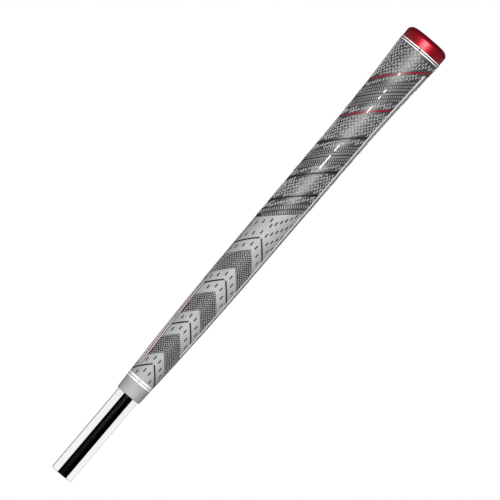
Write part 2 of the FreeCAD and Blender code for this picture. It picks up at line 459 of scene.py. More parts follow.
@dataclass(frozen=True)
class PaintFill:
    """Enamel wiped into moulded grooves: satin, slightly uneven and thin at its edges."""

    name: str
    colour: str
    worn_colour: str
    roughness: float = 0.45
    wear_size: float = 2.2 * MM
    wear_depth: float = 0.03 * MM

    def build(self) -> Material:
        """Make the material.

        Returns:
            The paint material.
        """
        material, tree, shader = new_material(self.name)
        place = add_node(tree, "TexCoord").outputs["Object"]
        patchy = add_node(tree, "TexNoise", {"Vector": place, "Scale": 1 / self.wear_size, "Detail": 4.0})
        worn = add_node(tree, "MapRange", {
            "Value": patchy.outputs["Fac"], "From Min": 0.55, "From Max": 0.8})
        tint = add_node(tree, "Mix", {
            "Factor": worn, 6: linear(self.colour), 7: linear(self.worn_colour)},
            data_type="RGBA")
        bump = add_node(tree, "Bump", {
            "Height": patchy.outputs["Fac"], "Distance": self.wear_depth, "Strength": 1.0})
        plug(tree, shader, {
            "Base Color": tint.outputs[2], "Normal": bump, "Roughness": self.roughness})
        return material


@dataclass(frozen=True)
class ChromePlate:
    """Bright nickel-chrome plate on drawn steel tube: mirror-like, with faint lengthwise polishing marks."""

    name: str = "chrome plate, polished"
    colour: str = "E9EBEE"
    roughness: float = 0.05
    tube_radius: float = 7.1 * MM
    mark_width: float = 0.35 * MM
    mark_length: float = 60 * MM

    def build(self) -> Material:
        """Make the material.

        Returns:
            The chrome material.
        """
        material, tree, shader = new_material(self.name)
        flat = unrolled(tree, self.tube_radius)
        scale = (1 / self.mark_width, 1 / self.mark_length, 1.0)
        drawn = add_node(tree, "VectorMath", {0: flat, 1: scale}, operation="MULTIPLY")
        marks = add_node(tree, "TexNoise", {"Vector": drawn, "Scale": 1.0, "Detail": 3.0})
        rough = add_node(tree, "MapRange", {
            "Value": marks.outputs["Fac"], "To Min": self.roughness * 0.6, "To Max": self.roughness * 1.6})
        plug(tree, shader, {
            "Roughness": rough, "Base Color": linear(self.colour), "Metallic": 1.0})
        return material


@dataclass(frozen=True)
class GlossCap:
    """Injection-moulded red cap, metallic flake under a clear coat: deep red that lights up face on."""

    name: str = "red thermoplastic, moulded and lacquered"
    colour: str = "B80E28"
    flake_colour: str = "960A20"
    flake_size: float = 0.25 * MM
    roughness: tuple[float, float] = (0.36, 0.5)
    metallic: float = 0.75
    coat: float = 0.35
    coat_roughness: float = 0.3

    def build(self) -> Material:
        """Make the material.

        Returns:
            The lacquered red material.
        """
        material, tree, shader = new_material(self.name)
        place = add_node(tree, "TexCoord").outputs["Object"]
        flake = add_node(tree, "TexVoronoi", {"Vector": place, "Scale": 1 / self.flake_size})
        tint = add_node(tree, "Mix", {
            "Factor": flake.outputs["Distance"], 6: linear(self.colour), 7: linear(self.flake_colour)},
            data_type="RGBA")
        rough = add_node(tree, "MapRange", {
            "Value": flake.outputs["Distance"], "From Max": 0.6,
            "To Min": self.roughness[0], "To Max": self.roughness[1]})
        plug(tree, shader, {
            "Base Color": tint.outputs[2], "Roughness": rough, "Metallic": self.metallic,
            "Coat Weight": self.coat, "Coat Roughness": self.coat_roughness})
        return material


@dataclass(frozen=True)
class TapePaper:
    """Double-sided masking paper, wound on in a spiral: creped, dry and slightly see-through."""

    name: str = "crepe paper tape, wound"
    colour: str = "D9CDB0"
    seam_colour: str = "A8987A"
    wind_pitch: float = 48 * MM
    crepe_size: float = 0.45 * MM
    tape_radius: float = 7.5 * MM
    roughness: float = 0.75
    seam_edge: tuple[float, float] = (0.3 * MM, 1.2 * MM)
    crease_length: float = 3 * MM
    crepe_depth: float = 0.08 * MM

    def build(self) -> Material:
        """Make the material.

        Returns:
            The paper material.
        """
        material, tree, shader = new_material(self.name)
        flat = unrolled(tree, self.tape_radius)
        split = add_node(tree, "SeparateXYZ", {0: flat})
        turns = add_node(tree, "Math", {
            0: split.outputs["X"], 1: self.wind_pitch / (2 * math.pi * self.tape_radius)},
            operation="MULTIPLY")
        height = add_node(tree, "Math", {0: split.outputs["Y"], 1: turns}, operation="SUBTRACT")
        phase = add_node(tree, "Math", {0: height, 1: self.wind_pitch}, operation="FLOORED_MODULO")
        seam = add_node(tree, "MapRange", {
            "Value": phase, "From Min": self.seam_edge[0], "From Max": self.seam_edge[1],
            "To Min": 1.0, "To Max": 0.0})
        tint = add_node(tree, "Mix", {
            "Factor": seam, 6: linear(self.colour), 7: linear(self.seam_colour)},
            data_type="RGBA")
        scale = (1 / self.crease_length, 1 / self.crepe_size, 1.0)
        creased = add_node(tree, "VectorMath", {0: flat, 1: scale}, operation="MULTIPLY")
        crepe = add_node(tree, "TexNoise", {"Vector": creased, "Scale": 1.0, "Detail": 3.0})
        bump = add_node(tree, "Bump", {
            "Height": crepe.outputs["Fac"], "Distance": self.crepe_depth, "Strength": 1.0})
        plug(tree, shader, {
            "Base Color": tint.outputs[2], "Normal": bump, "Roughness": self.roughness})
        return material


@dataclass(frozen=True)
class Finishes:
    """Every finish of the grip, built once."""

    grey: Material
    black: Material
    ribbed: Material
    rib_base: Material
    studs: Material
    patch_base: Material
    slot_floor: Material
    core: Material
    cord: Material
    thread: Material
    white: Material
    red: Material
    dark_red: Material
    chrome: Material
    cap: Material
    tape: Material

    @classmethod
    def build(cls) -> "Finishes":
        """Build all the materials.

        Returns:
            The set of finishes.
        """
        return cls(
            grey=MouldedRubber("soft grey rubber, moulded", "A0A1A2", roughness=0.6).build(),
            black=MouldedRubber("black rubber, moulded", "0A0A0B", roughness=0.6, specular=0.3).build(),
            # rib tops coloured pale grey on the dark band rubber: a painted highlight for the sheen of the
            # front light
            ribbed=MouldedRubber(
                "charcoal rubber, rib tops painted pale as highlight", "7C7C80", roughness=0.55, specular=0.8).build(),
            rib_base=RibbedBase("charcoal rubber, moulded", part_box("mouth_collar")[0][2]).build(),
            # stud tops coloured pale grey on the dark patch rubber: a painted highlight
            studs=MouldedRubber(
                "charcoal rubber, stud tops painted pale as highlight", "A6A6A9", roughness=0.55, specular=0.8).build(),
            patch_base=MouldedRubber(
                "charcoal rubber, fine moulded", "222224", roughness=0.6, specular=0.5).build(),
            # slot walls and floors coloured dark grey: painted shade in the recesses
            slot_floor=MouldedRubber("grey rubber, slots painted dark as shade", "2C2E30", roughness=0.8).build(),
            core=MouldedRubber("black base rubber, moulded", "1C1C1E", roughness=0.7).build(),
            cord=CordedRubber("corded rubber, calendered").build(),
            thread=CottonThread().build(),
            white=PaintFill("white enamel, wiped in", "F4F4F4", "CFCFCF").build(),
            red=PaintFill("red enamel, wiped in", "800E25", "5C0E20").build(),
            dark_red=PaintFill("dark red enamel, wiped in", "640C1C", "46101A").build(),
            chrome=ChromePlate().build(),
            cap=GlossCap().build(),
            tape=TapePaper().build(),
        )


# ---------------------------------------------------------------- the grip's surface


@dataclass
class GripSurface:
    """The grip's outer surface of revolution, read from the CAD skin."""

    skin_nodes: tuple[str, ...]
    sample_step: float = 1.5 * MM
    heights: np.ndarray = field(init=False)
    radii: np.ndarray = field(init=False)
    mouth: float = field(init=False)

    def __post_init__(self) -> None:
        """Sample the outermost CAD vertex in every step of height."""
        self.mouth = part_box("mouth_collar")[0][2]
        found: dict[int, tuple[float, float]] = {}
        for node in self.skin_nodes:
            vertices = frame["nodes"][node].data.vertices
            places = np.empty(len(vertices) * 3)
            vertices.foreach_get("co", places)
            for x, y, z in places.reshape(-1, 3):
                step = int(z / self.sample_step)
                best = found.get(step, (z, 0.0))
                found[step] = max(best, (z, math.hypot(x, y)), key=lambda pair: pair[1])
        samples = sorted(found.values())
        self.heights = np.array([height for height, _ in samples])
        self.radii = np.array([radius for _, radius in samples])

    def radius(self, height: float) -> float:
        """Outer radius at a height above the mouth."""
        return float(np.interp(height + self.mouth, self.heights, self.radii))

    def normal(self, place: Vector) -> Vector:
        """Outward direction of the surface beside a point."""
        step = 2 * MM
        height = place.z - self.mouth
        slope = (self.radius(height + step) - self.radius(height - step)) / (2 * step)
        out = Vector((place.x, place.y, 0)).normalized()
        return (out - Vector((0, 0, slope))).normalized()

    def place(self, angle: float, height: float, lift: float) -> Vector:
        """A point on the surface.

        Args:
            angle: angle from the front towards +X, in radians.
            height: height above the mouth.
            lift: distance outside the surface.

        Returns:
            The point in the row frame.
        """
        reach = self.radius(height) + lift
        return Vector((reach * math.sin(angle), -reach * math.cos(angle), height + self.mouth))


@dataclass(frozen=True)
class Spot:
    """Where one copy of a small shape sits on the grip."""

    angle: float
    height: float
    lean: float = 0.0
    length: float = 1.0
    width: float = 1.0


class StampShape(Enum):
    """The small shapes that are copied over the grip."""

    STUD = "stud"
    RIB = "rib"
    THREAD = "thread"
    SLOT = "slot"


@dataclass(frozen=True)
class Stamp:
    """A small shape: across, along and height in metres, sunk by depth under the surface."""

    shape: StampShape
    across: float
    along: float
    height: float
    depth: float
    top_share: float

    def build(self) -> Object:
        """Model the shape flat, with its length along Y and its top up.

        Returns:
            The stamp as an object that is deleted after its copies are made.
        """
        bpy.ops.object.select_all(action="DESELECT")
        middle = (self.height - self.depth) / 2
        bpy.ops.mesh.primitive_cube_add(size=1.0, location=(0, 0, middle))
        stamp = bpy.context.object
        stamp.scale = (self.across, self.along, self.height + self.depth)
        bpy.ops.object.transform_apply(location=True, rotation=False, scale=True)
        if self.shape is not StampShape.STUD:
            self.round_ends(stamp)
        self.narrow_top(stamp)
        return stamp

    def round_ends(self, stamp: Object) -> None:
        """Bevel the four upright edges so that the ends are rounded."""
        bpy.ops.object.mode_set(mode="EDIT")
        bpy.ops.mesh.select_mode(type="EDGE")
        bpy.ops.mesh.select_all(action="DESELECT")
        bpy.ops.object.mode_set(mode="OBJECT")
        points = stamp.data.vertices
        for edge in stamp.data.edges:
            low, high = (points[index].co for index in edge.vertices)
            edge.select = abs(low.z - high.z) > self.height / 2
        bpy.ops.object.mode_set(mode="EDIT")
        bpy.ops.mesh.bevel(offset=self.across * CORNER_SHARE, segments=2)
        bpy.ops.object.mode_set(mode="OBJECT")

    def narrow_top(self, stamp: Object) -> None:
        """Pull the top face in, so that the flanks slope."""
        bpy.ops.object.mode_set(mode="EDIT")
        bpy.ops.mesh.select_mode(type="FACE")
        bpy.ops.mesh.select_all(action="DESELECT")
        bpy.ops.object.mode_set(mode="OBJECT")
        for face in stamp.data.polygons:
            face.select = face.normal.z > 0.9
        bpy.ops.object.mode_set(mode="EDIT")
        along_share = 1 - (1 - self.top_share) * self.across / self.along
        bpy.ops.transform.resize(value=(self.top_share, along_share, 1.0))
        bpy.ops.object.mode_set(mode="OBJECT")


def stamp_over(name: str, surface: GripSurface, stamp: Stamp, spots: list[Spot]) -> Object:
    """Copy a stamp to every spot, curved to the grip's surface, as one mesh.

    Args:
        name: the new object's name.
        surface: the surface that the copies follow.
        stamp: the small shape.
        spots: where the copies go.

    Returns:
        The new object.
    """
    pattern = stamp.build()
    corners = [vertex.co.copy() for vertex in pattern.data.vertices]
    faces = [tuple(face.vertices) for face in pattern.data.polygons]
    bpy.data.objects.remove(pattern)
    points: list[Vector] = []
    polygons: list[tuple[int, ...]] = []
    for spot in spots:
        first = len(points)
        radius = surface.radius(spot.height)
        cosine, sine = math.cos(spot.lean), math.sin(spot.lean)
        for corner in corners:
            across, along = corner.x * spot.width, corner.y * spot.length
            around = across * cosine - along * sine
            up = across * sine + along * cosine
            points.append(surface.place(spot.angle + around / radius, spot.height + up, corner.z))
        polygons.extend(tuple(first + index for index in face) for face in faces)
    mesh = bpy.data.meshes.new(name)
    mesh.from_pydata(points, [], polygons)
    piece = bpy.data.objects.new(name, mesh)
    bpy.context.collection.objects.link(piece)
    return piece


def join(target: Object, extra: Object, number: int) -> None:
    """Join a second object into a piece.

    Args:
        target: the piece that is kept.
        extra: the object that becomes part of it.
        number: the material number that the added faces get.
    """
    start = len(target.data.polygons)
    select_only(target)
    extra.select_set(True)
    bpy.ops.object.join()
    for face in target.data.polygons[start:]:
        face.material_index = number


# ---------------------------------------------------------------- sub-assemblies


@dataclass
class ShaftEnd:
    """Chromed steel tube with a rounded lower rim, and the paper tape wound on its butt."""

    finishes: Finishes
    wall: float = 0.6 * MM
    rim_round: float = 0.15 * MM
    step_length: float = 1.5 * MM
    support: float = 0.3 * MM
    steps: int = 160

    def build(self) -> None:
        """Build the tube and dress the tape."""
        low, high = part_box("shaft_tube")
        collar_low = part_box("mouth_collar")[0]
        tape_low, tape_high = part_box("grip_tape")
        butt = high[0]
        tip = self.tip_radius()
        step = collar_low[2]
        step_end = step + self.step_length
        outline = (
            corner_arc((tip - self.rim_round, low[2] + self.rim_round), (self.rim_round,) * 2, -90, 0, 4)
            + [(tip, low[2] + self.rim_round + self.support), (tip, step - self.support), (tip, step)]
            + [(butt, step_end), (butt, step_end + self.support)]
            + corner_arc((butt - self.rim_round, high[2] - self.rim_round), (self.rim_round,) * 2, 0, 90, 4)
            + [(butt - self.wall, high[2]), (butt - self.wall, step_end), (tip - self.wall, step)]
            + [(tip - self.wall, low[2])]
        )
        tube = lathe("shaft_tube_chromed", outline, self.steps)
        smooth(tube)
        finish_piece(tube, SHAFT_BODY, [self.finishes.chrome], ["shaft_tube"])
        frame["nodes"]["grip_tape"].data.materials[0] = self.finishes.tape
        log.info("tape %.1f mm long", (tape_high[2] - tape_low[2]) / MM)

    def tip_radius(self) -> float:
        """Outer radius of the tube's lower end, from its lowest CAD vertices."""
        vertices = frame["nodes"]["shaft_tube"].data.vertices
        lowest = min(vertex.co.z for vertex in vertices)
        return max(vertex.co.xy.length for vertex in vertices if vertex.co.z < lowest + 0.1 * MM)


@dataclass
class ButtCap:
    """Red cap: straight skirt, rounded shoulder, flat crown with a shallow ring groove and the vent hole."""

    finishes: Finishes
    shoulder: float = 3.4 * MM
    crown_radius: float = 9.3 * MM
    skirt_edge: float = 0.25 * MM
    groove_radius: float = 7.4 * MM
    groove_width: float = 0.5 * MM
    groove_depth: float = 0.25 * MM
    vent_radius: float = 1.0 * MM
    vent_flare: float = 0.4 * MM
    end_wall: float = 3.0 * MM
    spigot_radius: float = 9.735 * MM
    spigot_height: float = 3.2 * MM

    def build(self) -> None:
        """Spin the cap's section."""
        low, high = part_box("end_cap")
        seat, top, outer = low[2], high[2], high[0]
        shoulder_centre = (self.crown_radius, top - self.shoulder)
        groove = self.groove_radius
        outline = (
            [(self.spigot_radius, seat), (outer - self.skirt_edge, seat)]
            + corner_arc((outer - self.skirt_edge, seat + self.skirt_edge), (self.skirt_edge,) * 2, -60, 0, 4)
            + corner_arc(shoulder_centre, (outer - self.crown_radius, self.shoulder), 0, 90, 14)
            + [(groove + self.groove_width, top), (groove + self.groove_width * 0.7, top - self.groove_depth),
               (groove + self.groove_width * 0.3, top - self.groove_depth), (groove, top)]
            + [(self.vent_radius + self.vent_flare, top), (self.vent_radius, top - self.vent_flare)]
            + [(self.vent_radius, top - self.end_wall), (BORE_RADIUS, top - self.end_wall)]
            + [(BORE_RADIUS, seat + self.spigot_height), (self.spigot_radius, seat + self.spigot_height)]
        )
        cap = lathe("butt_cap", outline)
        smooth(cap, 40)
        finish_piece(cap, GRIP_BODY, [self.finishes.cap], ["end_cap"])


@dataclass
class Collar:
    """Plain grey collar at the mouth, and the fine lip where it meets the shaft."""

    finishes: Finishes
    surface: GripSurface
    rounding: float = 0.35 * MM
    lip: float = 0.1 * MM
    rows: int = 10

    def build(self) -> None:
        """Spin the collar's section along the grip's outline."""
        low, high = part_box("mouth_collar")
        height = high[2] - low[2]
        side = [(self.surface.radius(height * row / self.rows), low[2] + height * row / self.rows)
                for row in range(1, self.rows + 1)]
        centre = (self.surface.radius(self.rounding) - self.rounding, low[2] + self.rounding)
        outline = (
            [(BORE_RADIUS, low[2] + self.lip), (BORE_RADIUS + self.lip, low[2])]
            + corner_arc(centre, (self.rounding,) * 2, -90, 0, 6)
            + side + [(BORE_RADIUS, high[2])]
        )
        collar = lathe("collar_rubber", outline)
        smooth(collar)
        finish_piece(collar, GRIP_BODY, [self.finishes.grey], ["mouth_collar"])


@dataclass(frozen=True)
class SideStripe:
    """A long inlaid stripe: heights of its ends, azimuths there and half its span, in metres and degrees."""

    bottom: float
    top: float
    azimuths: tuple[float, float]
    half_span: float

    def covers(self, angle: float, height: float, margin: float) -> bool:
        """Whether a point of the grip lies on the stripe or within the margin, in degrees, of it."""
        if not self.bottom - 1 * MM < height < self.top + 1 * MM:
            return False
        share = (height - self.bottom) / (self.top - self.bottom)
        azimuth = self.azimuths[0] + (self.azimuths[1] - self.azimuths[0]) * share
        return abs(math.degrees(angle) - azimuth) < self.half_span + margin


@dataclass
class InlaidSkin:
    """Flush pieces of the skin that keep their CAD shape: rings, lines, stripes and dashes."""

    finishes: Finishes
    surface: GripSurface
    stripes: tuple[SideStripe, ...] = (
        SideStripe(36 * MM, 252 * MM, (73.0, 69.0), 12.0),
        SideStripe(19 * MM, 80 * MM, (-56.0, -66.0), 14.0),
    )
    dash_half_width: float = 0.325 * MM
    dashes: tuple[tuple[float, float], ...] = (    # middle and length of each, in millimetres
        (243.2, 1.6), (230.4, 2.4), (225.6, 2.2), (217.2, 3.4), (214.7, 1.0), (187.4, 4.9), (176.9, 10.0))

    def covers(self, angle: float, height: float, margin: float) -> bool:
        """Whether a raised shape at a point would touch a stripe or a dash.

        Args:
            angle: angle from the front, in radians.
            height: height above the mouth.
            margin: how far the shape reaches from that point.

        Returns:
            True on a stripe or a dash, or too near to one.
        """
        radius = self.surface.radius(height)
        degrees = math.degrees(margin / radius)
        if any(stripe.covers(angle, height, degrees) for stripe in self.stripes):
            return True
        beside = abs(math.sin(angle)) * radius < self.dash_half_width + margin and abs(angle) < math.pi / 2
        return beside and any(abs(height - middle * MM) < length * MM / 2 + margin
                              for middle, length in self.dashes)

    def build(self) -> None:
        """Copy each piece, join its triangles and dress it."""
        named = {
            "white_paint": self.finishes.white, "black_rubber": self.finishes.black,
            "grey_rubber": self.finishes.grey, "red_paint": self.finishes.red,
            "dark_red_paint": self.finishes.dark_red,
        }
        made = ("mouth_collar", "lower_sleeve")
        for part in frame["record"]["subparts"]:
            node, slot = part["node"], part["material_slot"]
            if slot in named and node not in made:
                piece = copy_of_node(node, node + "_inlay")
                smooth(piece)
                surface_normals(piece, self.surface)
                finish_piece(piece, GRIP_BODY, [named[slot]], [node])
        frame["nodes"]["core_sleeve"].data.materials[0] = self.finishes.core


@dataclass(frozen=True)
class TiltedPlanes:
    """A family of parallel tilted planes, each named by its height where it meets the waist's front."""

    slope: float
    dip: float
    front_radius: float = WAIST_RADIUS

    def name_of(self, x: float, y: float, height: float) -> float:
        """Front height of the plane through a point."""
        return height - self.slope * x + self.dip * (y + self.front_radius)

    def height(self, surface: "GripSurface", front_height: float, angle: float) -> float:
        """Height at which a plane cuts the grip's surface.

        Args:
            surface: the grip's surface.
            front_height: front height of the plane.
            angle: angle from the front, in radians.

        Returns:
            The height above the mouth.
        """
        height = front_height
        for _ in range(3):
            radius = surface.radius(height)
            height = (front_height + self.slope * radius * math.sin(angle)
                      + self.dip * (radius * math.cos(angle) - self.front_radius))
        return height

    def lean(self, angle: float) -> float:
        """Angle that the cut makes with the level at that place, in radians."""
        return math.atan(self.slope * math.cos(angle) - self.dip * math.sin(angle))


@dataclass
class Wrap:
    """Upper half: corded panels with raised threads, and ribbed bands, all slanting the same way."""

    finishes: Finishes
    surface: GripSurface
    inlays: InlaidSkin
    planes: TiltedPlanes = TiltedPlanes(WRAP_SLOPE, WRAP_DIP)
    end_planes: TiltedPlanes = TiltedPlanes(0.95, 0.0)
    end_height: float = 136.5 * MM
    top_height: float = 260.3 * MM
    line_widths: tuple[float, ...] = (1.5 * MM, 1.1 * MM, 1.1 * MM)
    strip_width: float = 5.9 * MM
    seam_width: float = 0.9 * MM
    line_pairs: tuple[tuple[float, float], ...] = LINE_PAIRS
    last_line: float = 150.9 * MM
    thread: Stamp = Stamp(StampShape.THREAD, 0.62 * MM, 2.0 * MM, 0.16 * MM, 0.1 * MM, 0.55)
    rib: Stamp = Stamp(StampShape.RIB, 0.8 * MM, 2.5 * MM, 0.2 * MM, 0.15 * MM, 0.7)
    thread_across: float = 1.2 * MM
    thread_along: float = 2.8 * MM
    thread_shift: float = 0.1
    thread_turn: float = 0.08
    thread_lengths: tuple[float, float] = (0.7, 1.2)
    thread_widths: tuple[float, float] = (0.75, 1.15)
    thread_reach: float = 0.45
    column_height: float = 200 * MM
    top_reach: float = 0.9
    rib_pitch: float = 1.25 * MM
    seam_land: float = 2.0 * MM
    rib_share: float = 0.84
    edge_margin: float = 0.3 * MM
    seed: int = 7

    def bands(self) -> dict[str, tuple[float, float]]:
        """Upper and lower front height of every corded or ribbed node.

        Returns:
            The edges by node.
        """
        found = {}
        above = self.top_height + 40 * MM
        for number, (upper, lower) in enumerate(self.line_pairs, 1):
            half = self.line_widths[number - 1] / 2
            seam = (upper + lower) / 2
            first, second = 2 * number - 1, 2 * number
            found["cord_panel_%d" % number] = (above, upper + half)
            found["cord_strip_%d" % first] = (upper - half, upper - half - self.strip_width)
            found["ribbed_band_%d" % first] = (upper - half - self.strip_width, seam + self.seam_width / 2)
            found["ribbed_band_%d" % second] = (seam - self.seam_width / 2, lower + half + self.strip_width)
            found["cord_strip_%d" % second] = (lower + half + self.strip_width, lower + half)
            above = lower - half
        count = len(self.line_pairs)
        half = self.line_widths[count] / 2
        found["cord_panel_%d" % (count + 1)] = (above, self.last_line + half)
        strip_end = self.last_line - half - self.strip_width
        found["cord_strip_%d" % (2 * count + 1)] = (self.last_line - half, strip_end)
        found["ribbed_band_%d" % (2 * count + 1)] = (strip_end, self.end_height)
        return found

    def is_free(self, spot: Spot, reach: float) -> bool:
        """Whether a raised shape at a spot stays inside the upper half and off the inlays."""
        x, y, _ = self.surface.place(spot.angle, spot.height, 0)
        if self.end_planes.name_of(x, y, spot.height) < self.end_height + reach:
            return False
        if spot.height > self.top_height - reach * self.top_reach:
            return False
        return not self.inlays.covers(spot.angle, spot.height, self.edge_margin)

    def thread_spots(self, upper: float, lower: float, chance: random.Random) -> list[Spot]:
        """Lay raised threads out in staggered columns along the grip, between two planes.

        Args:
            upper: front height of the upper plane.
            lower: front height of the lower plane.
            chance: the source of the small irregularities.

        Returns:
            The spots.
        """
        reach = self.edge_margin + self.thread.along * self.thread_reach
        columns = round(2 * math.pi * self.surface.radius(self.column_height) / self.thread_across)
        rows = int(self.top_height / self.thread_along) + 1
        spots = []
        for column in range(columns):
            for row in range(rows):
                around = column + chance.uniform(-self.thread_shift, self.thread_shift)
                angle = -math.pi + 2 * math.pi * around / columns
                up = row + 0.5 * (column % 2) + chance.uniform(-self.thread_shift, self.thread_shift)
                height = up * self.thread_along
                lean = chance.uniform(-self.thread_turn, self.thread_turn)
                spot = Spot(angle, height, lean, chance.uniform(*self.thread_lengths),
                            chance.uniform(*self.thread_widths))
                x, y, _ = self.surface.place(angle, height, 0)
                plane = self.planes.name_of(x, y, height)
                if lower + reach < plane < upper - reach and self.is_free(spot, reach):
                    spots.append(spot)
        return spots

    def rib_spots(self, upper: float, lower: float) -> list[Spot]:
        """Lay two rows of ribs between two planes, square to the band.

        Args:
            upper: front height of the upper plane.
            lower: front height of the lower plane.

        Returns:
            The spots.
        """
        spots = []
        row_height = (upper - lower) / 2
        for row in (0, 1):
            plane = upper - row_height * (row + 0.5)
            angle = -math.pi + row * self.rib_pitch / 2 / self.surface.radius(plane)
            while angle < math.pi:
                height = self.planes.height(self.surface, plane, angle)
                lean = self.planes.lean(angle)
                reach = self.rib.along * math.cos(lean) / 2
                length = row_height * math.cos(lean) * self.rib_share / self.rib.along
                spot = Spot(angle, height, lean, length)
                if self.is_free(spot, reach):
                    spots.append(spot)
                angle += self.rib_pitch * math.cos(lean) / self.surface.radius(height)
        return spots

    def ribbed_part(self, node: str, upper: float, lower: float) -> tuple[float, float]:
        """Edges of the ribs on a band, which is smooth beside a seam.

        Args:
            node: the band's CAD node.
            upper: front height of the band's upper edge.
            lower: front height of its lower edge.

        Returns:
            The front heights of the ribs' upper and lower edge.
        """
        number = int(node.rsplit("_", 1)[1])
        if number > 2 * len(self.line_pairs):
            return upper, lower
        return (upper, lower + self.seam_land) if number % 2 else (upper - self.seam_land, lower)

    def build(self) -> None:
        """Dress the cord and the ribbed bands with their raised detail."""
        chance = random.Random(self.seed)
        cord = [self.finishes.cord, self.finishes.thread]
        ribbed = [self.finishes.rib_base, self.finishes.ribbed]
        for node, (upper, lower) in self.bands().items():
            if node.startswith("cord"):
                spots = self.thread_spots(upper, lower, chance)
                self.build_band(node, cord, self.thread, spots)
            else:
                spots = self.rib_spots(*self.ribbed_part(node, upper, lower))
                self.build_band(node, ribbed, self.rib, spots)

    def build_band(self, node: str, materials: list[Material], stamp: Stamp,
                   spots: list[Spot]) -> None:
        """Copy a band from CAD and add its raised detail.

        Args:
            node: the CAD node.
            materials: the base's material, and the raised shapes'.
            stamp: the raised shape.
            spots: where the copies go.
        """
        piece = copy_of_node(node, node + "_surface")
        smooth(piece)
        count = len(piece.data.polygons)
        detail = stamp_over(node + "_detail", self.surface, stamp, spots)
        smooth(detail)
        join(piece, detail, 1)
        surface_normals(piece, self.surface, count)
        finish_piece(piece, GRIP_BODY, materials, [node])


